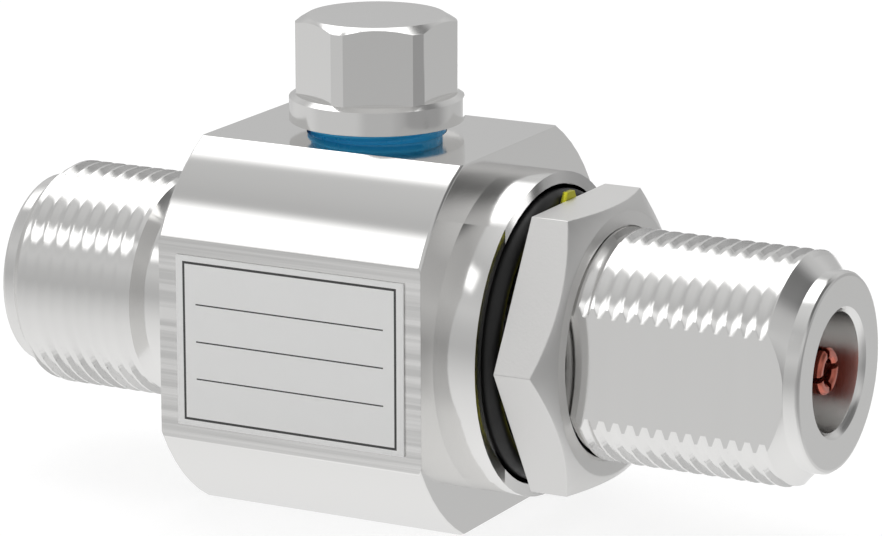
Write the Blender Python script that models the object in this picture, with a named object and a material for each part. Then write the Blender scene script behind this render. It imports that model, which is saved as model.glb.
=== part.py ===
"""Coaxial lightning arrestor with a jack at each end and a gas tube under a screw cap.

Metres, +Z up. The origin is the centre of the block's bottom flat. The connector axis runs
along X at the height FLAT_HEIGHT, with the bulkhead jack towards +X. The label flat faces -Y.
Along each end, heights are measured outwards from the block's end face.
"""

import math

import bmesh
import bpy
from mathutils import Matrix, Vector

# Fits
SEAT_GAP = 0.00003
FIT_GAP = 0.0003
RUNNING_GAP = 0.00004

# Block: a round bar with four milled flats
BLOCK_RADIUS = 0.0146
BLOCK_LENGTH = 0.0201
FLAT_HEIGHT = 0.0128
BLOCK_EDGE = 0.00015
CHAMBER_RADIUS = 0.0054
PORT_RADIUS = 0.0063
CAP_OFFSET = -0.00025

# Jacks: the thread is 5/8 in, and its crests are the barrel's surface
THREAD_RADIUS = 0.0079375
NOSE_RADIUS = 0.0068
NOSE_LENGTH = 0.00105
NOSE_EDGE = 0.00035
BORE_RADIUS = 0.00405
BORE_DEPTH = 0.0091
BORE_LIP = 0.00038
LINE_RADIUS = 0.0035
REAR_REACH = 0.0168
NECK_RADIUS = 0.0068
NECK_LENGTH = 0.00585
BOSS_RADIUS = 0.01113
BOSS_LENGTH = 0.00313
BULKHEAD_REACH = 0.02124
D_FLAT_HEIGHT = 0.00678
D_FLAT_START = 0.0005
SHELL_SEAL_SECTION = 0.0006
SHELL_SEAL_LAND = 0.0005

# Panel hardware on the bulkhead jack
PANEL_SEAL_SECTION = 0.0015
PANEL_SEAL_BORE_RADIUS = 0.0085
PANEL_GROOVE_DEPTH = 0.00098
WASHER_THICKNESS = 0.0004
WASHER_RADIUS = 0.0094
WASHER_BAND = 0.00055
WASHER_TEETH = 12
WASHER_NOTCH = 0.0016
NUT_ACROSS_FLATS = 0.0190
NUT_THICKNESS = 0.0027
NUT_FACE_RADIUS = 0.00905

# Signal line
INSULATOR_FLANGE = 0.0017
CONTACT_RADIUS = 0.0016
CONTACT_RECESS = 0.0007
CONTACT_TAIL = 0.0044
PIN_BORE_RADIUS = 0.00085
PIN_BORE_DEPTH = 0.0065
PIN_BORE_LIP = 0.0002
SLOT_WIDTH = 0.0004
SLOT_LENGTH = 0.005
SLOT_TURN = 10
ROD_RADIUS = 0.001
ROD_ENGAGEMENT = 0.0022
CONDUCTOR_RADIUS = 0.0026
TUBE_SEAT_HEIGHT = 0.0016

# Gas tube and its contact spring
TUBE_RADIUS = 0.004
TUBE_HEIGHT = 0.006
TUBE_SIDE_GAP = 0.0004
ELECTRODE_THICKNESS = 0.0009
ELECTRODE_DISH_RADIUS = 0.0022
ELECTRODE_DISH_DEPTH = 0.0003
CERAMIC_STEP = 0.00015
SPRING_THICKNESS = 0.00025
SPRING_RISE = 0.0005
SPRING_RADIUS = 0.0037
SPRING_HUB_RADIUS = 0.0022
SPRING_SLOTS = 8
SPRING_SLOT_WIDTH = 0.0006

# Cap: a hexagon head over a round collar, on a 3/8 in threaded stem
CAP_THREAD_RADIUS = 0.0047625
CAP_STANDOFF = 0.00083
CAP_SEAL_LENGTH = 0.0016
COLLAR_RADIUS = 0.00601
COLLAR_HEIGHT = 0.00186
HEAD_ACROSS_FLATS = 0.01
HEAD_CORNER_RADIUS = 0.00554
HEAD_HEIGHT = 0.00534
HEAD_FACE_RADIUS = 0.00475
STUD_RADIUS = 0.0012
STUD_LENGTH = 0.00055

# Label on the front flat
LABEL_WIDTH = 0.01746
LABEL_HEIGHT = 0.01185
LABEL_THICKNESS = 0.00015
LABEL_OFFSET = 0.00012

# Facets round each turned piece
COARSE_STEPS = 64
FINE_STEPS = 40
SMALL_STEPS = 24
SECTION_STEPS = 8
SHARP_ANGLE = math.radians(30)
WRENCH_CHAMFER = math.radians(30)
CUT_MARGIN = 0.001

# Places that follow from the sizes
CHAMBER_LENGTH = 2 * (TUBE_RADIUS + TUBE_SIDE_GAP)
BULKHEAD_PORT_DEPTH = BLOCK_LENGTH / 2 - CAP_OFFSET - CHAMBER_LENGTH / 2
REAR_PORT_DEPTH = BLOCK_LENGTH / 2 + CAP_OFFSET - CHAMBER_LENGTH / 2
BULKHEAD_FACE = BOSS_LENGTH + BULKHEAD_REACH
SPIGOT_RADIUS = PORT_RADIUS - FIT_GAP
SHELL_SEAL_RADIUS = PORT_RADIUS - RUNNING_GAP - SHELL_SEAL_SECTION / 2
PANEL_SEAL_RADIUS = PANEL_SEAL_BORE_RADIUS + PANEL_SEAL_SECTION / 2
PANEL_GROOVE_RADIUS = PANEL_SEAL_RADIUS + PANEL_SEAL_SECTION / 2 + FIT_GAP
PANEL_SEAL_HEIGHT = BOSS_LENGTH - PANEL_GROOVE_DEPTH + FIT_GAP + PANEL_SEAL_SECTION / 2
WASHER_HEIGHT = PANEL_SEAL_HEIGHT + PANEL_SEAL_SECTION / 2 + SEAT_GAP
NUT_HEIGHT = WASHER_HEIGHT + WASHER_THICKNESS + SEAT_GAP
BARREL_HOLE_RADIUS = THREAD_RADIUS + FIT_GAP
TUBE_FOOT = TUBE_SEAT_HEIGHT + SEAT_GAP
TUBE_TOP = TUBE_FOOT + TUBE_HEIGHT
SPRING_FOOT = TUBE_TOP + SEAT_GAP
STEM_FOOT = SPRING_FOOT + SPRING_RISE + SPRING_THICKNESS + SEAT_GAP
STEM_RADIUS = CAP_THREAD_RADIUS - FIT_GAP
COLLAR_FOOT = FLAT_HEIGHT + CAP_STANDOFF
HEAD_FOOT = COLLAR_FOOT + COLLAR_HEIGHT
HEAD_TOP = HEAD_FOOT + HEAD_HEIGHT

# Finishes: colour, metallic, roughness
NICKEL = ((0.80, 0.79, 0.77), 1.0, 0.12)
RED_COPPER = ((0.72, 0.24, 0.15), 1.0, 0.25)
BRASS = ((0.80, 0.62, 0.30), 1.0, 0.25)
BRONZE = ((0.78, 0.50, 0.28), 1.0, 0.28)
SILVER = ((0.86, 0.85, 0.83), 1.0, 0.25)
YELLOW_ZINC = ((0.80, 0.74, 0.10), 1.0, 0.35)
PTFE = ((0.93, 0.93, 0.91), 0.0, 0.45)
CERAMIC = ((0.90, 0.86, 0.82), 0.0, 0.35)
RUBBER = ((0.02, 0.02, 0.02), 0.0, 0.55)
BLUE_SEALANT = ((0.01, 0.15, 0.42), 0.0, 0.4)
LABEL_FILM = ((0.72, 0.72, 0.71), 0.0, 0.5)


def clear_scene():
    for obj in list(bpy.data.objects):
        bpy.data.objects.remove(obj)


def axis_empty(name, location, tilt=0.0):
    """An empty whose local Z is the axis that its pieces are turned about."""
    empty = bpy.data.objects.new(name, None)
    empty.location = location
    empty.rotation_euler = (0.0, tilt, 0.0)
    empty.empty_display_size = BLOCK_RADIUS
    bpy.context.collection.objects.link(empty)
    return empty


def material(name, finish):
    colour, metallic, roughness = finish
    made = bpy.data.materials.new(name)
    made.use_nodes = True
    shader = made.node_tree.nodes["Principled BSDF"]
    shader.inputs["Base Color"].default_value = (*colour, 1.0)
    shader.inputs["Metallic"].default_value = metallic
    shader.inputs["Roughness"].default_value = roughness
    made.diffuse_color = (*colour, 1.0)
    return made


def add_object(name, bm, parent, height=0.0):
    """Puts a bmesh in the scene, smooth but for its sharp edges, at a height along the parent's axis."""
    bmesh.ops.recalc_face_normals(bm, faces=bm.faces)
    mesh = bpy.data.meshes.new(name)
    bm.to_mesh(mesh)
    bm.free()
    mesh.shade_smooth()
    mesh.set_sharp_from_angle(angle=SHARP_ANGLE)
    obj = bpy.data.objects.new(name, mesh)
    obj.parent = parent
    obj.location = (0.0, 0.0, height)
    bpy.context.collection.objects.link(obj)
    return obj


def add_piece(name, bm, finish, parent, height=0.0):
    obj = add_object(name, bm, parent, height)
    obj.data.materials.append(material(name, finish))
    return obj


def turned(profile, steps, closed=True):
    """Turns a profile of (radius, height) points about Z. An open profile starts and ends on the axis."""
    bm = bmesh.new()
    points = [bm.verts.new((radius, 0.0, height)) for radius, height in profile]
    edges = [bm.edges.new(pair) for pair in zip(points, points[1:])]
    if closed:
        edges.append(bm.edges.new((points[-1], points[0])))
    bmesh.ops.spin(
        bm,
        geom=points + edges,
        cent=(0.0, 0.0, 0.0),
        axis=(0.0, 0.0, 1.0),
        angle=2 * math.pi,
        steps=steps,
        use_merge=True,
    )
    bmesh.ops.remove_doubles(bm, verts=bm.verts, dist=1e-7)
    return bm


def ring_of_round_section(radius, section, steps):
    """An O-ring: a circle of the section's diameter, turned at its mean radius."""
    outline = []
    for step in range(SECTION_STEPS):
        angle = 2 * math.pi * step / SECTION_STEPS
        outline.append((radius + section / 2 * math.cos(angle), section / 2 * math.sin(angle)))
    return turned(outline, steps)


def rounded_corner(radius, height, size):
    """The outer top corner of a turned piece, from its end face to its side."""
    points = []
    for turn in (0, 30, 60, 90):
        angle = math.radians(turn)
        points.append(
            (radius - size + size * math.sin(angle), height - size + size * math.cos(angle))
        )
    return points


def box(low, high, turn=0.0):
    """A box between two corners, turned about Z by an angle in degrees."""
    centre = [(a + b) / 2 for a, b in zip(low, high)]
    size = [b - a for a, b in zip(low, high)]
    place = Matrix.Rotation(math.radians(turn), 4, "Z") @ Matrix.Translation(centre)
    bm = bmesh.new()
    bmesh.ops.create_cube(bm, size=1.0, matrix=place @ Matrix.Diagonal((*size, 1.0)))
    return bm


def row_of_boxes(low, high, count):
    """The same box repeated round Z."""
    joined = bmesh.new()
    for index in range(count):
        single = box(low, high, 360 * index / count)
        mesh = bpy.data.meshes.new("box")
        single.to_mesh(mesh)
        single.free()
        joined.from_mesh(mesh)
        bpy.data.meshes.remove(mesh)
    return joined


def cut(piece, name, bm, height=0.0):
    """Takes a shape away from a piece with a Boolean, and keeps the cutter as a hidden guide."""
    cutter = add_object(name, bm, piece.parent, piece.location.z + height)
    cutter.hide_render = True
    cutter.display_type = "WIRE"
    modifier = piece.modifiers.new(name, "BOOLEAN")
    modifier.operation = "DIFFERENCE"
    modifier.solver = "EXACT"
    modifier.object = cutter
    return cutter


def mill_flat(piece, distance, reach, low, high, turn=0.0):
    """Mills one flat at a distance from the axis, between two heights, facing the angle turn."""
    corner = (distance, -reach, low)
    far_corner = (distance + reach, reach, high)
    cut(piece, f"{piece.name}_flat_{turn:.0f}_cutter", box(corner, far_corner, turn))


def mill_flats(piece, count, distance, reach, low, high):
    for index in range(count):
        mill_flat(piece, distance, reach, low, high, 360 * index / count)


def block(middle, cap_axis):
    """Bar with a port at each end, a chamber between them and the cap's hole down to the chamber."""
    half = BLOCK_LENGTH / 2
    chamber_top = half - BULKHEAD_PORT_DEPTH
    chamber_foot = REAR_PORT_DEPTH - half
    profile = [
        (PORT_RADIUS, half),
        (BLOCK_RADIUS - BLOCK_EDGE, half),
        (BLOCK_RADIUS, half - BLOCK_EDGE),
        (BLOCK_RADIUS, BLOCK_EDGE - half),
        (BLOCK_RADIUS - BLOCK_EDGE, -half),
        (PORT_RADIUS, -half),
        (PORT_RADIUS, chamber_foot),
        (CHAMBER_RADIUS, chamber_foot),
        (CHAMBER_RADIUS, chamber_top),
        (PORT_RADIUS, chamber_top),
    ]
    bar = add_piece("body_block", turned(profile, COARSE_STEPS), NICKEL, middle)
    far = half + CUT_MARGIN
    mill_flats(bar, 4, FLAT_HEIGHT, BLOCK_RADIUS, -far, far)
    thread_hole = CAP_THREAD_RADIUS + RUNNING_GAP
    tube_hole = TUBE_RADIUS + FIT_GAP
    hole = [
        (0.0, FLAT_HEIGHT + CUT_MARGIN),
        (thread_hole, FLAT_HEIGHT + CUT_MARGIN),
        (thread_hole, STEM_FOOT - FIT_GAP),
        (tube_hole, STEM_FOOT - FIT_GAP),
        (tube_hole, TUBE_FOOT),
        (0.0, TUBE_FOOT),
    ]
    cutter = cut(bar, "cap_hole_cutter", turned(hole, FINE_STEPS, closed=False))
    cutter.parent = cap_axis


def bore_profile(face, inner_end):
    """The inside of a jack, from its inner end out to its mouth."""
    return [
        (LINE_RADIUS, inner_end),
        (LINE_RADIUS, face - BORE_DEPTH),
        (BORE_RADIUS, face - BORE_DEPTH),
        (BORE_RADIUS, face - BORE_LIP),
        (BORE_RADIUS + BORE_LIP, face),
    ]


def nose_profile(face):
    """The plain nose and the cone up to the thread, from the end face inwards."""
    cone_start = face - NOSE_LENGTH
    return rounded_corner(NOSE_RADIUS, face, NOSE_EDGE) + [
        (NOSE_RADIUS, cone_start),
        (THREAD_RADIUS, cone_start - (THREAD_RADIUS - NOSE_RADIUS)),
    ]


def spigot_profile(end):
    """The part that screws into the block's port, with the groove for its seal."""
    floor = SHELL_SEAL_RADIUS - SHELL_SEAL_SECTION / 2 - FIT_GAP
    groove_foot = -SHELL_SEAL_LAND - SHELL_SEAL_SECTION - 2 * FIT_GAP
    return [
        (SPIGOT_RADIUS, SEAT_GAP),
        (SPIGOT_RADIUS, -SHELL_SEAL_LAND),
        (floor, -SHELL_SEAL_LAND),
        (floor, groove_foot),
        (SPIGOT_RADIUS, groove_foot),
        (SPIGOT_RADIUS, end),
    ]


def spigot_end(port_depth):
    return INSULATOR_FLANGE + 2 * SEAT_GAP - port_depth


def bulkhead_jack(end):
    """Jack shell with a boss that seats on the panel, a seal groove and a D flat along its thread."""
    inner_end = spigot_end(BULKHEAD_PORT_DEPTH)
    groove_floor = BOSS_LENGTH - PANEL_GROOVE_DEPTH
    profile = (
        nose_profile(BULKHEAD_FACE)
        + [
            (THREAD_RADIUS, groove_floor),
            (PANEL_GROOVE_RADIUS, groove_floor),
            (PANEL_GROOVE_RADIUS, BOSS_LENGTH),
            (BOSS_RADIUS, BOSS_LENGTH),
            (BOSS_RADIUS, SEAT_GAP),
        ]
        + spigot_profile(inner_end)
        + bore_profile(BULKHEAD_FACE, inner_end)
    )
    shell = add_piece("bulkhead_jack_shell", turned(profile, COARSE_STEPS), NICKEL, end)
    flat_top = BULKHEAD_FACE - NOSE_LENGTH - SEAT_GAP
    mill_flat(
        shell, D_FLAT_HEIGHT, THREAD_RADIUS, BOSS_LENGTH + D_FLAT_START, flat_top, turn=-90
    )


def rear_jack(end):
    """Jack shell with a plain neck between its thread and the block."""
    inner_end = spigot_end(REAR_PORT_DEPTH)
    profile = (
        nose_profile(REAR_REACH)
        + [
            (THREAD_RADIUS, NECK_LENGTH + THREAD_RADIUS - NECK_RADIUS),
            (NECK_RADIUS, NECK_LENGTH),
            (NECK_RADIUS, SEAT_GAP),
        ]
        + spigot_profile(inner_end)
        + bore_profile(REAR_REACH, inner_end)
    )
    add_piece("rear_jack_shell", turned(profile, COARSE_STEPS), NICKEL, end)


def signal_line(side, end, face, port_depth):
    """The insulator, the contact and the shell seal of one end."""
    sleeve_radius = LINE_RADIUS - FIT_GAP
    rod_hole = ROD_RADIUS + FIT_GAP
    contact_hole = CONTACT_RADIUS + FIT_GAP
    flange_foot = SEAT_GAP - port_depth
    flange_top = flange_foot + INSULATOR_FLANGE
    sleeve_top = face - BORE_DEPTH - FIT_GAP
    tail = sleeve_top - CONTACT_TAIL
    sleeve = [
        (contact_hole, sleeve_top),
        (sleeve_radius, sleeve_top),
        (sleeve_radius, flange_top),
        (SPIGOT_RADIUS, flange_top),
        (SPIGOT_RADIUS, flange_foot),
        (rod_hole, flange_foot),
        (rod_hole, tail - FIT_GAP),
        (contact_hole, tail - FIT_GAP),
    ]
    add_piece(f"{side}_insulator", turned(sleeve, FINE_STEPS), PTFE, end)

    tip = face - CONTACT_RECESS
    rod_end = -port_depth - ROD_ENGAGEMENT
    socket = [
        (0.0, tip - PIN_BORE_DEPTH),
        (PIN_BORE_RADIUS, tip - PIN_BORE_DEPTH),
        (PIN_BORE_RADIUS, tip - PIN_BORE_LIP),
        (PIN_BORE_RADIUS + PIN_BORE_LIP, tip),
        (CONTACT_RADIUS - PIN_BORE_LIP, tip),
        (CONTACT_RADIUS, tip - PIN_BORE_LIP),
        (CONTACT_RADIUS, tail),
        (ROD_RADIUS, tail),
        (ROD_RADIUS, rod_end),
        (0.0, rod_end),
    ]
    contact = add_piece(
        f"{side}_contact", turned(socket, SMALL_STEPS, closed=False), RED_COPPER, end
    )
    across = CONTACT_RADIUS + CUT_MARGIN
    low = (-across, -SLOT_WIDTH / 2, tip - SLOT_LENGTH)
    high = (across, SLOT_WIDTH / 2, tip + CUT_MARGIN)
    for turn in (SLOT_TURN, SLOT_TURN + 90):
        cut(contact, f"{side}_contact_slot_{turn}_cutter", box(low, high, turn))

    seal = ring_of_round_section(SHELL_SEAL_RADIUS, SHELL_SEAL_SECTION, FINE_STEPS)
    seal_height = -SHELL_SEAL_LAND - FIT_GAP - SHELL_SEAL_SECTION / 2
    add_piece(f"{side}_shell_seal", seal, RUBBER, end, seal_height)


def centre_conductor(middle):
    """Turned slug that joins the contacts' rods, with the flat that the gas tube stands on."""
    top = BLOCK_LENGTH / 2 - BULKHEAD_PORT_DEPTH
    foot = REAR_PORT_DEPTH - BLOCK_LENGTH / 2
    bore = ROD_RADIUS + FIT_GAP
    depth = ROD_ENGAGEMENT + FIT_GAP
    profile = [
        (0.0, top - depth),
        (bore, top - depth),
        (bore, top),
        (CONDUCTOR_RADIUS, top),
        (CONDUCTOR_RADIUS, foot),
        (bore, foot),
        (bore, foot + depth),
        (0.0, foot + depth),
    ]
    slug = add_piece(
        "centre_conductor", turned(profile, SMALL_STEPS, closed=False), BRASS, middle
    )
    mill_flat(
        slug,
        TUBE_SEAT_HEIGHT,
        CONDUCTOR_RADIUS,
        foot - CUT_MARGIN,
        top + CUT_MARGIN,
        turn=180,
    )


def electrode_profile(outer_face, inner_face):
    """A disc with a shallow dish in its outer face."""
    inwards = math.copysign(ELECTRODE_DISH_DEPTH, inner_face - outer_face)
    return [
        (0.0, outer_face + inwards),
        (ELECTRODE_DISH_RADIUS - ELECTRODE_DISH_DEPTH, outer_face + inwards),
        (ELECTRODE_DISH_RADIUS, outer_face),
        (TUBE_RADIUS, outer_face),
        (TUBE_RADIUS, inner_face),
        (0.0, inner_face),
    ]


def gas_tube(cap_axis):
    """Ceramic ring between two dished electrodes, standing on the centre conductor."""
    lower_face = TUBE_FOOT + ELECTRODE_THICKNESS
    upper_face = TUBE_TOP - ELECTRODE_THICKNESS
    lower = electrode_profile(TUBE_FOOT, lower_face)
    upper = electrode_profile(TUBE_TOP, upper_face)
    add_piece(
        "gas_tube_lower_electrode", turned(lower, FINE_STEPS, closed=False), SILVER, cap_axis
    )
    add_piece(
        "gas_tube_upper_electrode", turned(upper, FINE_STEPS, closed=False), SILVER, cap_axis
    )
    ceramic_radius = TUBE_RADIUS - CERAMIC_STEP
    ceramic = [
        (0.0, upper_face - SEAT_GAP),
        (ceramic_radius, upper_face - SEAT_GAP),
        (ceramic_radius, lower_face + SEAT_GAP),
        (0.0, lower_face + SEAT_GAP),
    ]
    add_piece(
        "gas_tube_ceramic", turned(ceramic, FINE_STEPS, closed=False), CERAMIC, cap_axis
    )


def contact_spring(cap_axis):
    """Dished spring washer, slotted into fingers that press on the upper electrode."""
    hub_foot = SPRING_FOOT + SPRING_RISE
    eye = STUD_RADIUS + FIT_GAP
    profile = [
        (eye, hub_foot + SPRING_THICKNESS),
        (SPRING_HUB_RADIUS, hub_foot + SPRING_THICKNESS),
        (SPRING_RADIUS, SPRING_FOOT + SPRING_THICKNESS),
        (SPRING_RADIUS, SPRING_FOOT),
        (SPRING_HUB_RADIUS, hub_foot),
        (eye, hub_foot),
    ]
    spring = add_piece("contact_spring", turned(profile, FINE_STEPS), BRONZE, cap_axis)
    low = (SPRING_HUB_RADIUS, -SPRING_SLOT_WIDTH / 2, SPRING_FOOT - CUT_MARGIN)
    high = (SPRING_RADIUS + CUT_MARGIN, SPRING_SLOT_WIDTH / 2, STEM_FOOT + CUT_MARGIN)
    cut(spring, "contact_spring_slots_cutter", row_of_boxes(low, high, SPRING_SLOTS))


def cap(cap_axis):
    """Hexagon head, collar and stem turned in one, with a stud that holds the contact spring."""
    chamfer = (HEAD_CORNER_RADIUS - HEAD_FACE_RADIUS) * math.tan(WRENCH_CHAMFER)
    profile = [
        (0.0, HEAD_TOP),
        (HEAD_FACE_RADIUS, HEAD_TOP),
        (HEAD_CORNER_RADIUS, HEAD_TOP - chamfer),
        (HEAD_CORNER_RADIUS, HEAD_FOOT),
        (COLLAR_RADIUS, HEAD_FOOT),
        (COLLAR_RADIUS, COLLAR_FOOT),
        (STEM_RADIUS, COLLAR_FOOT),
        (STEM_RADIUS, STEM_FOOT),
        (STUD_RADIUS, STEM_FOOT),
        (STUD_RADIUS, STEM_FOOT - STUD_LENGTH),
        (0.0, STEM_FOOT - STUD_LENGTH),
    ]
    head = add_piece(
        "hex_cap", turned(profile, FINE_STEPS, closed=False), NICKEL, cap_axis
    )
    high = HEAD_TOP + CUT_MARGIN
    mill_flats(head, 6, HEAD_ACROSS_FLATS / 2, HEAD_CORNER_RADIUS, HEAD_FOOT, high)

    seal_top = COLLAR_FOOT - SEAT_GAP
    seal_bore = STEM_RADIUS + SEAT_GAP
    seal = [
        (seal_bore, seal_top),
        (CAP_THREAD_RADIUS, seal_top),
        (CAP_THREAD_RADIUS, seal_top - CAP_SEAL_LENGTH),
        (seal_bore, seal_top - CAP_SEAL_LENGTH),
    ]
    add_piece("cap_thread_seal", turned(seal, FINE_STEPS), BLUE_SEALANT, cap_axis)


def panel_seal(end):
    ring = ring_of_round_section(PANEL_SEAL_RADIUS, PANEL_SEAL_SECTION, COARSE_STEPS)
    add_piece("bulkhead_o_ring", ring, RUBBER, end, PANEL_SEAL_HEIGHT)


def lock_washer(end):
    """Thin washer with teeth inwards, which rides along the barrel with the nut."""
    profile = [
        (BARREL_HOLE_RADIUS, WASHER_THICKNESS),
        (WASHER_RADIUS, WASHER_THICKNESS),
        (WASHER_RADIUS, 0.0),
        (BARREL_HOLE_RADIUS, 0.0),
    ]
    washer = add_piece(
        "lock_washer", turned(profile, COARSE_STEPS), YELLOW_ZINC, end, WASHER_HEIGHT
    )
    low = (BARREL_HOLE_RADIUS - CUT_MARGIN, -WASHER_NOTCH / 2, -CUT_MARGIN)
    high = (
        WASHER_RADIUS - WASHER_BAND,
        WASHER_NOTCH / 2,
        WASHER_THICKNESS + CUT_MARGIN,
    )
    cut(washer, "lock_washer_notches_cutter", row_of_boxes(low, high, WASHER_TEETH))


def nut(end):
    """Thin hexagon nut with a corner on -Y and its wrench chamfer on the outer face."""
    corner = NUT_ACROSS_FLATS / 2 / math.cos(math.pi / 6) + CUT_MARGIN
    drop = (corner - NUT_FACE_RADIUS) * math.tan(WRENCH_CHAMFER)
    profile = [
        (BARREL_HOLE_RADIUS, NUT_THICKNESS),
        (NUT_FACE_RADIUS, NUT_THICKNESS),
        (corner, NUT_THICKNESS - drop),
        (corner, 0.0),
        (BARREL_HOLE_RADIUS, 0.0),
    ]
    blank = add_piece(
        "bulkhead_nut", turned(profile, COARSE_STEPS), NICKEL, end, NUT_HEIGHT
    )
    far = NUT_THICKNESS + CUT_MARGIN
    mill_flats(blank, 6, NUT_ACROSS_FLATS / 2, corner, -CUT_MARGIN, far)


def label(middle):
    """Thin plate on the front flat. The parent's Z is the connector axis and its X points down."""
    front = -FLAT_HEIGHT - SEAT_GAP
    low = Vector((-LABEL_HEIGHT / 2, front - LABEL_THICKNESS, LABEL_OFFSET - LABEL_WIDTH / 2))
    high = Vector((LABEL_HEIGHT / 2, front, LABEL_OFFSET + LABEL_WIDTH / 2))
    add_piece("label_plate", box(low, high), LABEL_FILM, middle)


def build():
    clear_scene()
    quarter = math.pi / 2
    half = BLOCK_LENGTH / 2
    middle = axis_empty("block_middle", (0.0, 0.0, FLAT_HEIGHT), quarter)
    bulkhead_end = axis_empty("bulkhead_end", (half, 0.0, FLAT_HEIGHT), quarter)
    rear_end = axis_empty("rear_end", (-half, 0.0, FLAT_HEIGHT), -quarter)
    cap_axis = axis_empty("cap_axis", (CAP_OFFSET, 0.0, FLAT_HEIGHT))

    block(middle, cap_axis)
    bulkhead_jack(bulkhead_end)
    rear_jack(rear_end)
    signal_line("bulkhead", bulkhead_end, BULKHEAD_FACE, BULKHEAD_PORT_DEPTH)
    signal_line("rear", rear_end, REAR_REACH, REAR_PORT_DEPTH)
    centre_conductor(middle)
    gas_tube(cap_axis)
    contact_spring(cap_axis)
    cap(cap_axis)
    panel_seal(bulkhead_end)
    lock_washer(bulkhead_end)
    nut(bulkhead_end)
    label(middle)


build()
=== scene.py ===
"""The looks of a nickel-plated coax lightning arrestor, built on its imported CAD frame.

Lengths in the sections are in millimetres, and MM turns them into metres.
"""
import math

import bmesh
import bpy
from mathutils import Matrix, Vector


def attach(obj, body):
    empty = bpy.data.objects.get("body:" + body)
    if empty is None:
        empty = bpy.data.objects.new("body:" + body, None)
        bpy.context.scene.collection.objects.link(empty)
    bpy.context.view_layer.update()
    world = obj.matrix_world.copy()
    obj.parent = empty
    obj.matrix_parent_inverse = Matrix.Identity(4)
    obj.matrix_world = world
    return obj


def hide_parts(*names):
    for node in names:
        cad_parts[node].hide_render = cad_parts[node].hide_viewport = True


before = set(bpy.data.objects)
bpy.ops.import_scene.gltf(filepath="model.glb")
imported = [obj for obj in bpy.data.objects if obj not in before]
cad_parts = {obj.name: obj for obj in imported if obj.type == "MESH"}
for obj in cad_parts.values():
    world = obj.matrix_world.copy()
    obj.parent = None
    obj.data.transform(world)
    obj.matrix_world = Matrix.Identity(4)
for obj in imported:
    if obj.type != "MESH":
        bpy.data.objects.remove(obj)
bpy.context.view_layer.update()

# Camera: it looks from the front right and a little above, along the photograph's own line of sight.
# A long lens far away gives the weak perspective of the picture.
MM = 0.001
CAMERA_PLACE = Vector((150.57, -271.47, 94.64))
SENSOR_WIDTH = 36.0
FOCAL_LENGTH = 189.55
camera_data = bpy.data.cameras.new("camera")
camera_data.sensor_width = SENSOR_WIDTH
camera_data.lens = FOCAL_LENGTH
camera_data.clip_start = 0.01
camera_data.clip_end = 20.0
camera = bpy.data.objects.new("camera", camera_data)
look = Vector((-0.45876, 0.85382, -0.24602)).normalized()
right = Vector((0.88116, 0.47282, -0.00216))
right = (right - look * right.dot(look)).normalized()
up = right.cross(look)
turn = Matrix((right, up, -look)).transposed().to_4x4()
camera.matrix_world = Matrix.Translation(CAMERA_PLACE * MM) @ turn
bpy.context.collection.objects.link(camera)
bpy.context.scene.camera = camera
bpy.context.scene.view_settings.view_transform = "Standard"

# Studio: a tent of soft light, dim at the horizon and bright below, with dark cloths at the right and behind.
# Soft boxes hang overhead and high at the front left, and low ones stand at the left and at the back.
# Each panel is given as west, east, low and high in degrees, with the softness of its edge and its strength.
world = bpy.data.worlds.new("studio")
bpy.context.scene.world = world
world.use_nodes = True
sky = world.node_tree
sky.nodes.clear()
ray = sky.nodes.new("ShaderNodeTexCoord").outputs["Generated"]


def sky_math(operation, first, second=None):
    """One arithmetic node of the sky, fed by sockets or numbers."""
    node = sky.nodes.new("ShaderNodeMath")
    node.operation = operation
    for socket, value in zip(node.inputs, (first, second)):
        if isinstance(value, bpy.types.NodeSocket):
            sky.links.new(value, socket)
        elif value is not None:
            socket.default_value = value
    return node.outputs[0]


def sky_along(vector):
    """How far the ray points along a direction."""
    node = sky.nodes.new("ShaderNodeVectorMath")
    node.operation = "DOT_PRODUCT"
    sky.links.new(ray, node.inputs[0])
    node.inputs[1].default_value = vector
    return node.outputs["Value"]


def edge_mask(value, low, high):
    """Rises smoothly from 0 to 1 between two values."""
    edge = sky.nodes.new("ShaderNodeMapRange")
    edge.interpolation_type = "SMOOTHSTEP"
    edge.inputs["From Min"].default_value = low
    edge.inputs["From Max"].default_value = high
    sky.links.new(value, edge.inputs["Value"])
    return edge.outputs["Result"]


def toward(azimuth, elevation):
    """The direction of a point in the studio. Azimuth 0 is the front, and positive is towards +X."""
    az, el = math.radians(azimuth), math.radians(elevation)
    return Vector((math.cos(el) * math.sin(az), -math.cos(el) * math.cos(az), math.sin(el)))


def panel(corners, softness):
    """A flat-sided lit panel in the sky, 1 inside and 0 outside. The softness is in degrees."""
    middle = sum((corner.normalized() for corner in corners), Vector())
    soft = math.sin(math.radians(softness))
    mask = None
    for index, corner in enumerate(corners):
        across = corner.cross(corners[index - 1]).normalized()
        if across.dot(middle) < 0:
            across = -across
        side = edge_mask(sky_along(across), -soft, soft)
        mask = side if mask is None else sky_math("MULTIPLY", mask, side)
    return mask


def window(west, east, low, high, softness):
    """A panel between two azimuths and two elevations, in degrees."""
    return panel([toward(west, low), toward(west, high), toward(east, high), toward(east, low)], softness)


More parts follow.
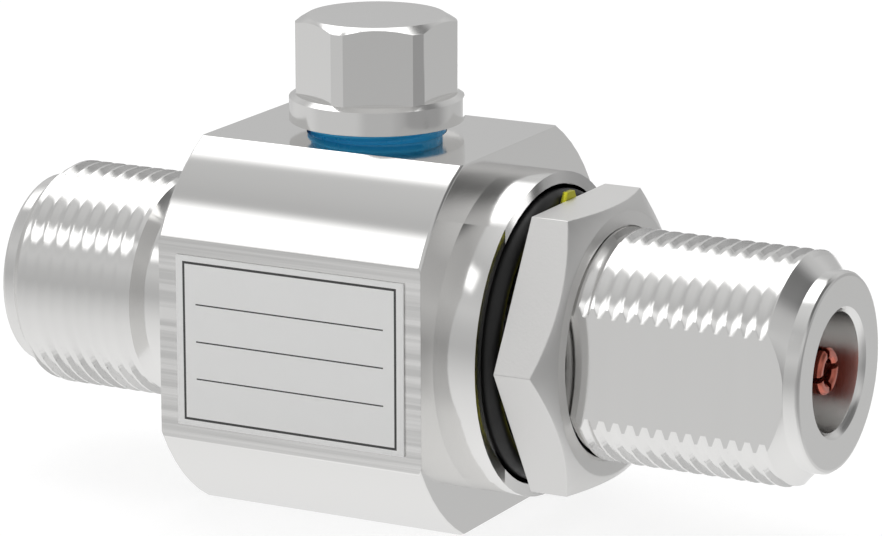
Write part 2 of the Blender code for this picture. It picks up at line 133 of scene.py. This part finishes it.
height = sky.nodes.new("ShaderNodeMapRange")
height.inputs["From Min"].default_value = -1.0
sky.links.new(sky_along((0, 0, 1)), height.inputs["Value"])
band = sky.nodes.new("ShaderNodeValToRGB")
sky.links.new(height.outputs["Result"], band.inputs["Fac"])
stops = (
    (0.0, 0.98), (0.05, 0.94), (0.15, 0.88), (0.25, 0.82), (0.365, 0.69), (0.45, 0.57),
    (0.5, 0.52), (0.6, 0.56), (0.7, 0.66), (0.8, 0.58), (0.9, 0.53), (1.0, 0.75),
)
while len(band.color_ramp.elements) < len(stops):
    band.color_ramp.elements.new(0.5)
for element, (place, brightness) in zip(band.color_ramp.elements, stops):
    element.position = place
    element.color = (brightness, brightness, brightness, 1)
glow = band.outputs["Color"]
for shade, strength in (
    (window(88, 150, 22, 52, 8), 0.70),
    (window(157, 197, 42, 57, 5), 0.55),
    (window(8, 60, -34, 4, 9), 0.20),
    (window(60, 128, -34, 4, 14), 0.45),
    (window(128, 178, -34, 4, 14), 0.14),
):
    glow = sky_math("MULTIPLY", glow, sky_math("SUBTRACT", 1.0, sky_math("MULTIPLY", shade, strength)))
overhead_corners = ((-1.0, 1.38, 1), (0.35, 0.37, 1), (0.35, 0.06, 1), (-1.0, 0.06, 1))
overhead = [Vector(corner) for corner in overhead_corners]
for box, strength in (
    (panel(overhead, 4.0), 1.45),
    (window(-55, -20, 35.5, 48.5, 3), 1.10),
    (window(-173, -153, -28, -4, 4), 0.70),
    (window(-115, -60, -34, 4, 10), 0.09),
):
    glow = sky_math("ADD", glow, sky_math("MULTIPLY", box, strength))
studio_light = sky.nodes.new("ShaderNodeBackground")
sky.links.new(glow, studio_light.inputs["Color"])
white = sky.nodes.new("ShaderNodeBackground")
white.inputs["Color"].default_value = (1, 1, 1, 1)
seen = sky.nodes.new("ShaderNodeMixShader")
sky.links.new(sky.nodes.new("ShaderNodeLightPath").outputs["Is Camera Ray"], seen.inputs[0])
sky.links.new(studio_light.outputs[0], seen.inputs[1])
sky.links.new(white.outputs[0], seen.inputs[2])
sky.links.new(seen.outputs[0], sky.nodes.new("ShaderNodeOutputWorld").inputs["Surface"])

# Floor: plain white paper that keeps a soft shadow of the part.
# Metal mirrors the studio in its place.
FLOOR_HALF = 3.0
floor_mesh = bmesh.new()
bmesh.ops.create_grid(floor_mesh, x_segments=1, y_segments=1, size=FLOOR_HALF)
floor = bpy.data.objects.new("floor", bpy.data.meshes.new("floor"))
floor_mesh.to_mesh(floor.data)
floor_mesh.free()
bpy.context.collection.objects.link(floor)
paper = bpy.data.materials.new("studio_paper")
paper.use_nodes = True
paper.node_tree.nodes.clear()
paper_light = paper.node_tree.nodes.new("ShaderNodeLightPath")
paper_matt = paper.node_tree.nodes.new("ShaderNodeBsdfDiffuse")
paper_matt.inputs["Color"].default_value = (0.88, 0.88, 0.88, 1)
paper_thin = paper.node_tree.nodes.new("ShaderNodeBsdfDiffuse")
paper_thin.inputs["Color"].default_value = (0.3, 0.3, 0.3, 1)
paper_white = paper.node_tree.nodes.new("ShaderNodeEmission")
paper_white.inputs["Strength"].default_value = 0.8
paper_seen = paper.node_tree.nodes.new("ShaderNodeAddShader")
paper_clear = paper.node_tree.nodes.new("ShaderNodeBsdfTransparent")
by_camera = paper.node_tree.nodes.new("ShaderNodeMixShader")
by_metal = paper.node_tree.nodes.new("ShaderNodeMixShader")
paper_out = paper.node_tree.nodes.new("ShaderNodeOutputMaterial")
for start, end in (
    (paper_thin.outputs[0], paper_seen.inputs[0]),
    (paper_white.outputs[0], paper_seen.inputs[1]),
    (paper_light.outputs["Is Camera Ray"], by_camera.inputs[0]),
    (paper_matt.outputs[0], by_camera.inputs[1]),
    (paper_seen.outputs[0], by_camera.inputs[2]),
    (paper_light.outputs["Is Glossy Ray"], by_metal.inputs[0]),
    (by_camera.outputs[0], by_metal.inputs[1]),
    (paper_clear.outputs[0], by_metal.inputs[2]),
    (by_metal.outputs[0], paper_out.inputs["Surface"]),
):
    paper.node_tree.links.new(start, end)
floor.data.materials.append(paper)

# Block: round brass bar with four milled flats, bright nickel plated.
# The front flat keeps the fine lengthwise strokes of its grinding and is duller than the rest.
NICKEL = (0.80, 0.795, 0.785)
FRONT_FLAT = -12.75
BRIGHT = 0.10
FRONT_DULLER = 0.14


def wire(material, *pairs):
    """Joins sockets of a material's nodes, two at a time."""
    for start, end in pairs:
        material.node_tree.links.new(start, end)


def finish(name, colour, metallic, roughness, specular=0.5):
    """A new material and its shader, with Object coordinates in metres."""
    material = bpy.data.materials.new(name)
    material.use_nodes = True
    shader = material.node_tree.nodes["Principled BSDF"]
    shader.inputs["Base Color"].default_value = (*colour, 1)
    shader.inputs["Metallic"].default_value = metallic
    shader.inputs["Roughness"].default_value = roughness
    shader.inputs["Specular IOR Level"].default_value = specular
    place = material.node_tree.nodes.new("ShaderNodeTexCoord").outputs["Object"]
    return material, shader, place


def grain(material, place, stretch, detail=3.0):
    """Noise on a piece, stretched by a scale along each axis."""
    mapping = material.node_tree.nodes.new("ShaderNodeMapping")
    mapping.inputs["Scale"].default_value = stretch
    noise = material.node_tree.nodes.new("ShaderNodeTexNoise")
    noise.inputs["Scale"].default_value = 1.0
    noise.inputs["Detail"].default_value = detail
    wire(material, (place, mapping.inputs["Vector"]), (mapping.outputs[0], noise.inputs["Vector"]))
    return noise.outputs["Fac"]


def level(material, value, low, high, low_in=0.35, high_in=0.65):
    """Turns a noise value into a range of roughness or of shade."""
    node = material.node_tree.nodes.new("ShaderNodeMapRange")
    node.inputs["From Min"].default_value = low_in
    node.inputs["From Max"].default_value = high_in
    node.inputs["To Min"].default_value = low
    node.inputs["To Max"].default_value = high
    wire(material, (value, node.inputs["Value"]))
    return node.outputs["Result"]


def uneven(material, shader, place, stretch, smooth, rough):
    """Lets a material's roughness wander between two values over the piece."""
    marks = level(material, grain(material, place, stretch), smooth, rough)
    wire(material, (marks, shader.inputs["Roughness"]))


def copied(node):
    """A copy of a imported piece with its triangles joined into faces."""
    mesh = bmesh.new()
    mesh.from_mesh(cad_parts[node].data)
    bmesh.ops.remove_doubles(mesh, verts=mesh.verts, dist=2e-6)
    bmesh.ops.dissolve_limit(mesh, angle_limit=math.radians(1.0), verts=mesh.verts, edges=mesh.edges)
    return mesh


def rounded(mesh, edge, sharp=25.0):
    """Rounds a mesh's sharp edges."""
    edges = [e for e in mesh.edges if len(e.link_faces) == 2 and e.calc_face_angle() > math.radians(sharp)]
    bmesh.ops.bevel(mesh, geom=edges, offset=edge * MM, offset_type="OFFSET", affect="EDGES", segments=2,
                    profile=0.5, material=-1, clamp_overlap=True)
    return mesh


def linked(mesh, body, material, name):
    """Links a finished mesh as an object that rides on a body."""
    made = bpy.data.objects.new(name, bpy.data.meshes.new(name))
    mesh.to_mesh(made.data)
    mesh.free()
    bpy.context.collection.objects.link(made)
    made.data.materials.append(material)
    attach(made, body)
    return made


def piece(name, mesh, material, body, replaces, crease=32.0):
    """A smooth piece that keeps its creases and takes the place of packed ones."""
    for face in mesh.faces:
        face.smooth = True
    for edge in mesh.edges:
        edge.smooth = len(edge.link_faces) == 2 and edge.calc_face_angle() < math.radians(crease)
    made = linked(mesh, body, material, name)
    steady = made.modifiers.new("even_normals", "WEIGHTED_NORMAL")
    steady.keep_sharp = True
    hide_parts(*replaces)
    return made


def socket_math(material, operation, first, second=None):
    """One arithmetic node of a material, fed by sockets or numbers."""
    node = material.node_tree.nodes.new("ShaderNodeMath")
    node.operation = operation
    for socket, value in zip(node.inputs, (first, second)):
        if isinstance(value, bpy.types.NodeSocket):
            wire(material, (value, socket))
        elif value is not None:
            socket.default_value = value
    return node.outputs[0]


def axes(material, place):
    """The X, Y and Z of a place on the piece, in metres."""
    node = material.node_tree.nodes.new("ShaderNodeSeparateXYZ")
    wire(material, (place, node.inputs[0]))
    return node.outputs


def tinted(material, shader, colour, value):
    """Sets the shader's colour to a colour scaled by a value."""
    node = material.node_tree.nodes.new("ShaderNodeVectorMath")
    node.operation = "SCALE"
    node.inputs[0].default_value = colour
    wire(material, (value, node.inputs["Scale"]), (node.outputs[0], shader.inputs["Base Color"]))


block_nickel, block_shader, block_place = finish("block_nickel", NICKEL, 1.0, 0.12)
strokes = grain(block_nickel, block_place, (22, 22, 2300), 4.0)
streaks = level(block_nickel, strokes, -0.12, 0.12, 0.38, 0.62)
on_front = socket_math(block_nickel, "LESS_THAN", axes(block_nickel, block_place)["Y"], FRONT_FLAT * MM)
drawn = socket_math(block_nickel, "MULTIPLY", streaks, on_front)
tinted(block_nickel, block_shader, NICKEL, socket_math(block_nickel, "SUBTRACT", 1.0, drawn))
duller = socket_math(block_nickel, "MULTIPLY", on_front, FRONT_DULLER)
block_rough = socket_math(block_nickel, "ADD", duller, BRIGHT)
wire(block_nickel, (block_rough, block_shader.inputs["Roughness"]))
piece("block", rounded(copied("body_block"), 0.04), block_nickel, "arrestor", ("body_block",))

# Label: a plain printed film on the front flat, with a ruled border and empty fields.
# The lines are in its colour.
AXIS_HEIGHT = 12.8
FILM = (0.95, 0.95, 0.94)
INK = 0.06
LABEL_X = 0.12
BORDER_OUTSIDE = (8.20, 5.53)
BORDER_INSIDE = (8.03, 5.36)
FIELDS = (7.2, 4.6)
RULE_HEIGHTS = (10.2, 12.8, 15.4)
RULE_HALF = 0.05
film, film_shader, film_place = finish("label_film", FILM, 0.0, 0.45)
film_axes = axes(film, film_place)


def ink_line(along, middle, half):
    """1 where an axis is within a distance of a place, in millimetres."""
    apart = socket_math(film, "SUBTRACT", film_axes[along], middle * MM)
    return socket_math(film, "LESS_THAN", socket_math(film, "ABSOLUTE", apart), half * MM)


def ink_box(half_width, half_height):
    """1 inside a rectangle about the label's middle."""
    across = ink_line("X", LABEL_X, half_width)
    return socket_math(film, "MULTIPLY", across, ink_line("Z", AXIS_HEIGHT, half_height))


border = socket_math(film, "SUBTRACT", ink_box(*BORDER_OUTSIDE), ink_box(*BORDER_INSIDE))
fields = ink_box(*FIELDS)
rules = None
for rule_height in RULE_HEIGHTS:
    rule = ink_line("Z", rule_height, RULE_HALF)
    rules = rule if rules is None else socket_math(film, "ADD", rules, rule)
ink = socket_math(film, "ADD", border, socket_math(film, "MULTIPLY", fields, rules))
bare = socket_math(film, "SUBTRACT", 1.0, ink)
tinted(film, film_shader, FILM, socket_math(film, "MAXIMUM", bare, INK))
piece("label", rounded(copied("label_plate"), 0.03), film, "arrestor", ("label_plate",))

# Bulkhead jack: a turned shell with a coarse thread, a flat milled along it and a plain nose.
# It is screwed into the block and nickel plated like it, with a satin bore and worn thread crests.
PITCH = 1.05833
FIRST_ROOT = 18.929
THREAD_STEPS = 96
BARREL_RADIUS = 7.9375
ROOT_RADIUS = 7.62
BOSS_BACK = 10.07, 10.15
BOSS_EDGE = 10.9
BOSS_SEATED = 0.12
SATIN_RADIUS = 4.2
WORN_RADIUS = 7.57
THREADS_MIDDLE = 3.6
THREADS_HALF = 28.65
FLAT_Y = -6.77
WORN = 0.78


def winding(section, pitch, turns, steps, start, turned=0.0):
    """A closed bar wound right-handed round the X axis from +Z. The section is (along, radius) pairs."""
    mesh = bmesh.new()
    loop = [mesh.verts.new((along * MM, 0, radius * MM)) for along, radius in section]
    edges = [mesh.edges.new((loop[i - 1], loop[i])) for i in range(len(loop))]
    bmesh.ops.spin(mesh, geom=loop + edges, cent=(0, 0, 0), axis=(1, 0, 0), dvec=(pitch * MM / steps, 0, 0),
                   angle=math.tau * turns, steps=round(steps * turns))
    bmesh.ops.holes_fill(mesh, edges=[e for e in mesh.edges if e.is_boundary], sides=len(section))
    bmesh.ops.recalc_face_normals(mesh, faces=mesh.faces)
    about_x = Matrix.Rotation(math.radians(turned), 3, "X")
    bmesh.ops.rotate(mesh, verts=mesh.verts, cent=(0, 0, 0), matrix=about_x)
    bmesh.ops.translate(mesh, verts=mesh.verts, vec=(start * MM, 0, 0))
    return mesh


def carved(mesh, tool):
    """Cuts one bmesh with another and gives back the result."""
    bmesh.ops.translate(tool, verts=tool.verts, vec=(0, 0, AXIS_HEIGHT * MM))
    pair = []
    for source in (mesh, tool):
        made = bpy.data.objects.new("blank", bpy.data.meshes.new("blank"))
        source.to_mesh(made.data)
        source.free()
        bpy.context.collection.objects.link(made)
        pair.append(made)
    change = pair[0].modifiers.new("cut", "BOOLEAN")
    change.operation = "DIFFERENCE"
    change.solver = "EXACT"
    change.object = pair[1]
    bpy.context.view_layer.update()
    result = bmesh.new()
    result.from_object(pair[0], bpy.context.evaluated_depsgraph_get())
    for made in pair:
        old = made.data
        bpy.data.objects.remove(made)
        bpy.data.meshes.remove(old)
    bmesh.ops.remove_doubles(result, verts=result.verts, dist=1e-7)
    return result


def radius_of(point):
    """A point's distance from the connector's axis, in millimetres."""
    return math.hypot(point.y, point.z - AXIS_HEIGHT * MM) / MM


def threaded(name, mesh, material, body, replaces, ends, inside=7.5):
    """A threaded piece whose flanks, crests and roots shade as one smooth wave between two places along X."""
    def wavy(face):
        middle = face.calc_center_median()
        return radius_of(middle) > inside and ends[0] * MM < middle.x < ends[1] * MM

    for face in mesh.faces:
        face.smooth = face.calc_area() < 4e-6 and abs(face.normal.x) < 0.999
    for edge in mesh.edges:
        smooth = len(edge.link_faces) == 2
        if smooth:
            limit = 75 if all(wavy(face) for face in edge.link_faces) else 28
            smooth = edge.calc_face_angle() < math.radians(limit)
        edge.smooth = smooth
    made = linked(mesh, body, material, name)
    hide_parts(*replaces)


groove = (
    (-0.195, ROOT_RADIUS), (0.195, ROOT_RADIUS), (0.434, BARREL_RADIUS),
    (0.434, 8.34), (-0.434, 8.34), (-0.434, BARREL_RADIUS),
)
shell = rounded(copied("bulkhead_jack_shell"), 0.06)
for vertex in shell.verts:
    if BOSS_BACK[0] * MM < vertex.co.x < BOSS_BACK[1] * MM and radius_of(vertex.co) > BOSS_EDGE:
        vertex.co.x -= BOSS_SEATED * MM
shell = carved(shell, winding(groove, PITCH, 18, THREAD_STEPS, FIRST_ROOT - 5 * PITCH, 1.3))
barrel_nickel, barrel_shader, barrel_place = finish("barrel_nickel", NICKEL, 1.0, 0.12)
marks = level(barrel_nickel, grain(barrel_nickel, barrel_place, (900, 40, 40)), 0.10, 0.17)
barrel_axes = axes(barrel_nickel, barrel_place)
sideways = socket_math(barrel_nickel, "POWER", barrel_axes["Y"], 2.0)
above_axis = socket_math(barrel_nickel, "SUBTRACT", barrel_axes["Z"], AXIS_HEIGHT * MM)
upright = socket_math(barrel_nickel, "POWER", above_axis, 2.0)
radius_squared = socket_math(barrel_nickel, "ADD", sideways, upright)
in_bore = socket_math(barrel_nickel, "LESS_THAN", radius_squared, (SATIN_RADIUS * MM) ** 2)
satin = socket_math(barrel_nickel, "MULTIPLY", in_bore, 0.10)
wire(barrel_nickel, (socket_math(barrel_nickel, "ADD", marks, satin), barrel_shader.inputs["Roughness"]))
outside = socket_math(barrel_nickel, "GREATER_THAN", radius_squared, (WORN_RADIUS * MM) ** 2)
from_middle = socket_math(barrel_nickel, "SUBTRACT", barrel_axes["X"], THREADS_MIDDLE * MM)
from_middle = socket_math(barrel_nickel, "ABSOLUTE", from_middle)
between_noses = socket_math(barrel_nickel, "LESS_THAN", from_middle, THREADS_HALF * MM)
behind_flat = socket_math(barrel_nickel, "GREATER_THAN", barrel_axes["Y"], FLAT_Y * MM)
on_rear_jack = socket_math(barrel_nickel, "LESS_THAN", barrel_axes["X"], 0.0)
off_flat = socket_math(barrel_nickel, "MAXIMUM", behind_flat, on_rear_jack)
on_thread = socket_math(barrel_nickel, "MULTIPLY", outside, between_noses)
on_thread = socket_math(barrel_nickel, "MULTIPLY", on_thread, off_flat)
outward = barrel_nickel.node_tree.nodes.new("ShaderNodeCombineXYZ")
to_world = barrel_nickel.node_tree.nodes.new("ShaderNodeVectorTransform")
to_world.vector_type = "NORMAL"
to_world.convert_from = "OBJECT"
to_world.convert_to = "WORLD"
worn = barrel_nickel.node_tree.nodes.new("ShaderNodeMix")
worn.data_type = "VECTOR"
unit = barrel_nickel.node_tree.nodes.new("ShaderNodeVectorMath")
unit.operation = "NORMALIZE"
surface = barrel_nickel.node_tree.nodes.new("ShaderNodeNewGeometry")
wire(
    barrel_nickel,
    (barrel_axes["Y"], outward.inputs["Y"]),
    (above_axis, outward.inputs["Z"]),
    (outward.outputs[0], to_world.inputs[0]),
    (socket_math(barrel_nickel, "MULTIPLY", on_thread, WORN), worn.inputs["Factor"]),
    (surface.outputs["Normal"], worn.inputs["A"]),
    (to_world.outputs[0], worn.inputs["B"]),
    (worn.outputs["Result"], unit.inputs[0]),
    (unit.outputs[0], barrel_shader.inputs["Normal"]),
)
threaded("bulkhead_jack", shell, barrel_nickel, "arrestor", ("bulkhead_jack_shell",),
         (13.9, 32.2))

# Rear jack: the same thread and nose at the other end, on a plain neck.
# The neck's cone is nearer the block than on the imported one, as in the photograph.
CONE = -17.1, -15.8
CONE_INSIDE = 6.5
CONE_MOVED = 0.9
REAR_ROOT = -25.95
shell = copied("rear_jack_shell")
for vertex in shell.verts:
    if CONE[0] * MM < vertex.co.x < CONE[1] * MM and radius_of(vertex.co) > CONE_INSIDE:
        vertex.co.x += CONE_MOVED * MM
shell = carved(rounded(shell, 0.06), winding(groove, PITCH, 10, THREAD_STEPS, REAR_ROOT))
threaded("rear_jack", shell, barrel_nickel, "arrestor", ("rear_jack_shell",), (-25.0, -16.0))

# Insulators: turned white plastic that holds the contacts in line.
# Each is pressed into its shell from the block's side.
ptfe, ptfe_shader, ptfe_place = finish("ptfe", (0.92, 0.92, 0.90), 0.0, 0.4)
uneven(ptfe, ptfe_shader, ptfe_place, (2500, 200, 200), 0.35, 0.5)
piece("bulkhead_ptfe", rounded(copied("bulkhead_insulator"), 0.05), ptfe, "arrestor",
      ("bulkhead_insulator",))
piece("rear_ptfe", rounded(copied("rear_insulator"), 0.05), ptfe, "arrestor", ("rear_insulator",))

# Contacts: turned sockets, slotted into four fingers, with a copper-red plate.
# Each sits in its insulator and takes a plug's pin.
copper, copper_shader, copper_place = finish("red_copper", (0.58, 0.17, 0.12), 1.0, 0.25)
uneven(copper, copper_shader, copper_place, (3000, 300, 300), 0.2, 0.34)
piece("bulkhead_socket", rounded(copied("bulkhead_contact"), 0.03), copper, "arrestor",
      ("bulkhead_contact",))
piece("rear_socket", rounded(copied("rear_contact"), 0.03), copper, "arrestor",
      ("rear_contact",))

# Inner pieces: the brass conductor, the ceramic gas tube on it, the bronze spring and the two rubber seals.
# The cap and the shells hide them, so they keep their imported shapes.
inside = (
    ("centre_conductor", "turned_brass", (0.80, 0.62, 0.30), 1.0, 0.25),
    ("gas_tube_ceramic", "tube_ceramic", (0.90, 0.86, 0.82), 0.0, 0.35),
    ("gas_tube_lower_electrode", "lower_electrode", (0.86, 0.85, 0.83), 1.0, 0.3),
    ("gas_tube_upper_electrode", "upper_electrode", (0.86, 0.85, 0.83), 1.0, 0.3),
    ("contact_spring", "spring_bronze", (0.78, 0.50, 0.28), 1.0, 0.3),
    ("bulkhead_shell_seal", "bulkhead_seal_rubber", (0.02, 0.02, 0.02), 0.0, 0.5),
    ("rear_shell_seal", "rear_seal_rubber", (0.02, 0.02, 0.02), 0.0, 0.5),
)
for node, name, colour, metallic, roughness in inside:
    material, shader, place = finish(name, colour, metallic, roughness)
    uneven(material, shader, place, (1500, 1500, 1500), roughness * 0.8, roughness * 1.3)
    for material_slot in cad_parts[node].material_slots:
        material_slot.material = material

# Cap: a hexagon head with a round collar on a threaded stem, turned from one bar and nickel plated.
# The collar slopes a little to its rim, and the stem's thread is below the blue coat.
CAP_PITCH = 0.79375
CAP_X = -0.25
COLLAR_BEND = 28.04
COLLAR_RIM = 5.9, 28.2
COLLAR_TOP = 0.929
STEM_OUTSIDE = 4.4, 24.8
STEM_ROOT = 0.959


def stem_ridge(mesh, root, crest, low, high):
    """Adds a thread's ridge to a mesh, wound round the cap's axis between two heights."""
    turns = (high - low) / CAP_PITCH
    wide = CAP_PITCH * 0.42
    foot = root - 0.1
    section = ((-wide, foot), (-wide, root), (-0.05, crest), (0.05, crest), (wide, root), (wide, foot))
    ridge = winding(section, CAP_PITCH, turns, 64, 0)
    upwards = Matrix.Rotation(math.radians(-90), 3, "Y")
    bmesh.ops.rotate(ridge, verts=ridge.verts, cent=(0, 0, 0), matrix=upwards)
    bmesh.ops.translate(ridge, verts=ridge.verts, vec=(CAP_X * MM, 0, low * MM))
    loose = bpy.data.meshes.new("loose")
    ridge.to_mesh(loose)
    ridge.free()
    mesh.from_mesh(loose)
    bpy.data.meshes.remove(loose)
    return mesh


def cap_radius(point):
    """A point's distance from the cap's axis, in millimetres."""
    return math.hypot(point.x - CAP_X * MM, point.y) / MM


def drawn_in(vertex, share):
    """Moves a vertex towards the cap's axis, to a share of its distance."""
    vertex.co.x = (vertex.co.x - CAP_X * MM) * share + CAP_X * MM
    vertex.co.y *= share


cap_nickel, cap_shader, cap_place = finish("cap_nickel", NICKEL, 1.0, 0.10)
uneven(cap_nickel, cap_shader, cap_place, (60, 60, 60), 0.10, 0.17)
head = copied("hex_cap")
whole_head = head.verts[:] + head.edges[:] + head.faces[:]
bmesh.ops.bisect_plane(head, geom=whole_head, plane_co=(0, 0, COLLAR_BEND * MM), plane_no=(0, 0, 1))
for vertex in head.verts:
    if cap_radius(vertex.co) > COLLAR_RIM[0] and vertex.co.z > COLLAR_RIM[1] * MM:
        drawn_in(vertex, COLLAR_TOP)
    if cap_radius(vertex.co) > STEM_OUTSIDE[0] and vertex.co.z < STEM_OUTSIDE[1] * MM:
        drawn_in(vertex, STEM_ROOT)
head = stem_ridge(rounded(head, 0.04), 4.28, 4.66, 21.7, 24.4)
piece("cap", head, cap_nickel, "cap", ("hex_cap",), 20.0)

# Thread sealant: a blue coat brushed on the top turns of the cap's thread.
# The thread's ridges show through it.
COAT_INSIDE = 4.6
COAT_ROOT = 0.947
blue, blue_shader, blue_place = finish("blue_sealant", (0.04, 0.54, 1.0), 0.0, 0.3)
uneven(blue, blue_shader, blue_place, (1200, 1200, 1200), 0.25, 0.45)
coat = copied("cap_thread_seal")
for vertex in coat.verts:
    if cap_radius(vertex.co) > COAT_INSIDE:
        drawn_in(vertex, COAT_ROOT)
coat = stem_ridge(coat, 4.50, 4.76, 25.05, 26.2)
piece("blue_thread", coat, blue, "cap", ("cap_thread_seal",))

# Panel ring: a smooth moulded rubber ring of round section.
# It lies in the groove of the boss and seals the panel's hole.
RING_X = 13.25
RING_RADIUS = 9.25
CORD_RADIUS = 0.75
rubber, rubber_shader, rubber_place = finish("panel_ring_rubber", (0.013, 0.013, 0.013), 0.0, 0.42, 0.35)
uneven(rubber, rubber_shader, rubber_place, (900, 900, 900), 0.36, 0.5)
ring = bmesh.new()
bmesh.ops.create_circle(ring, cap_ends=False, radius=CORD_RADIUS * MM, segments=24)
bmesh.ops.rotate(ring, verts=ring.verts, cent=(0, 0, 0), matrix=Matrix.Rotation(math.radians(90), 3, "X"))
bmesh.ops.translate(ring, verts=ring.verts, vec=(RING_X * MM, 0, RING_RADIUS * MM))
bmesh.ops.spin(ring, geom=ring.verts[:] + ring.edges[:], cent=(0, 0, 0), axis=(1, 0, 0), angle=math.tau,
               steps=96, use_merge=True)
bmesh.ops.recalc_face_normals(ring, faces=ring.faces)
bmesh.ops.translate(ring, verts=ring.verts, vec=(0, 0, AXIS_HEIGHT * MM))
piece("panel_ring", ring, rubber, "arrestor", ("bulkhead_o_ring",))

# Lock washer: a stamped steel washer with a yellow zinc finish, loose on the barrel behind the nut.
# Its rim stays behind the nut, apart from one tab that shows above it.
WASHER_BORE = 8.24
RIM_DRAWN_IN = 0.4
TAB_RADIUS = 10.0
TAB_FROM = -4.0
TAB_TO = 11.0


def pushed(vertex, radius):
    """Moves a vertex straight towards or away from the connector's axis, to a radius in millimetres."""
    scale = radius / radius_of(vertex.co)
    vertex.co.y *= scale
    vertex.co.z = (vertex.co.z - AXIS_HEIGHT * MM) * scale + AXIS_HEIGHT * MM


zinc, zinc_shader, zinc_place = finish("yellow_zinc", (0.60, 0.58, 0.04), 1.0, 0.35)
uneven(zinc, zinc_shader, zinc_place, (800, 800, 800), 0.28, 0.42)
washer = copied("lock_washer")
for vertex in washer.verts:
    reach = radius_of(vertex.co)
    if reach > 8.3:
        turned = math.degrees(math.atan2(vertex.co.y, vertex.co.z - AXIS_HEIGHT * MM))
        in_tab = reach > 9.2 and TAB_FROM < turned < TAB_TO
        pushed(vertex, TAB_RADIUS if in_tab else WASHER_BORE + (reach - WASHER_BORE) * RIM_DRAWN_IN)
piece("tooth_washer", rounded(washer, 0.03), zinc, "washer", ("lock_washer",))

# Nut: a thin hexagon nut with a thread, chamfered on its outer face, nickel plated with a satin face.
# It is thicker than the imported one, as in the photograph.
NUT_BORE = 7.69
NUT_THICKER = 1.11
NUT_MIDDLE = 14.8
nut_groove = (
    (-0.10, 8.03), (0.10, 8.03), (0.322, NUT_BORE),
    (0.322, 7.2), (-0.322, 7.2), (-0.322, NUT_BORE),
)
nut = copied("bulkhead_nut")
for vertex in nut.verts:
    if vertex.co.x > NUT_MIDDLE * MM:
        vertex.co.x += NUT_THICKER * MM
    if radius_of(vertex.co) < 8.5:
        pushed(vertex, NUT_BORE)
mouths = [e for e in nut.edges if all(radius_of(v.co) < 7.8 for v in e.verts)
          and abs(e.verts[0].co.x - e.verts[1].co.x) < 1e-5]
bmesh.ops.bevel(nut, geom=mouths, offset=0.30 * MM, offset_type="OFFSET", affect="EDGES", segments=1,
                profile=0.5, material=-1)
nut = carved(rounded(nut, 0.05, 24.0), winding(nut_groove, PITCH, 7, THREAD_STEPS, FIRST_ROOT - 6.5 * PITCH))
nut_nickel, nut_shader, nut_place = finish("nut_nickel", (0.75, 0.745, 0.735), 1.0, 0.42)
blasted = nut_nickel.node_tree.nodes.new("ShaderNodeBump")
blasted.inputs["Distance"].default_value = 0.008 * MM
wire(nut_nickel, (grain(nut_nickel, nut_place, (5000, 5000, 5000)), blasted.inputs["Height"]),
     (blasted.outputs[0], nut_shader.inputs["Normal"]))
threaded("nut", nut, nut_nickel, "nut", ("bulkhead_nut",), (14.0, 18.6), 6.0)
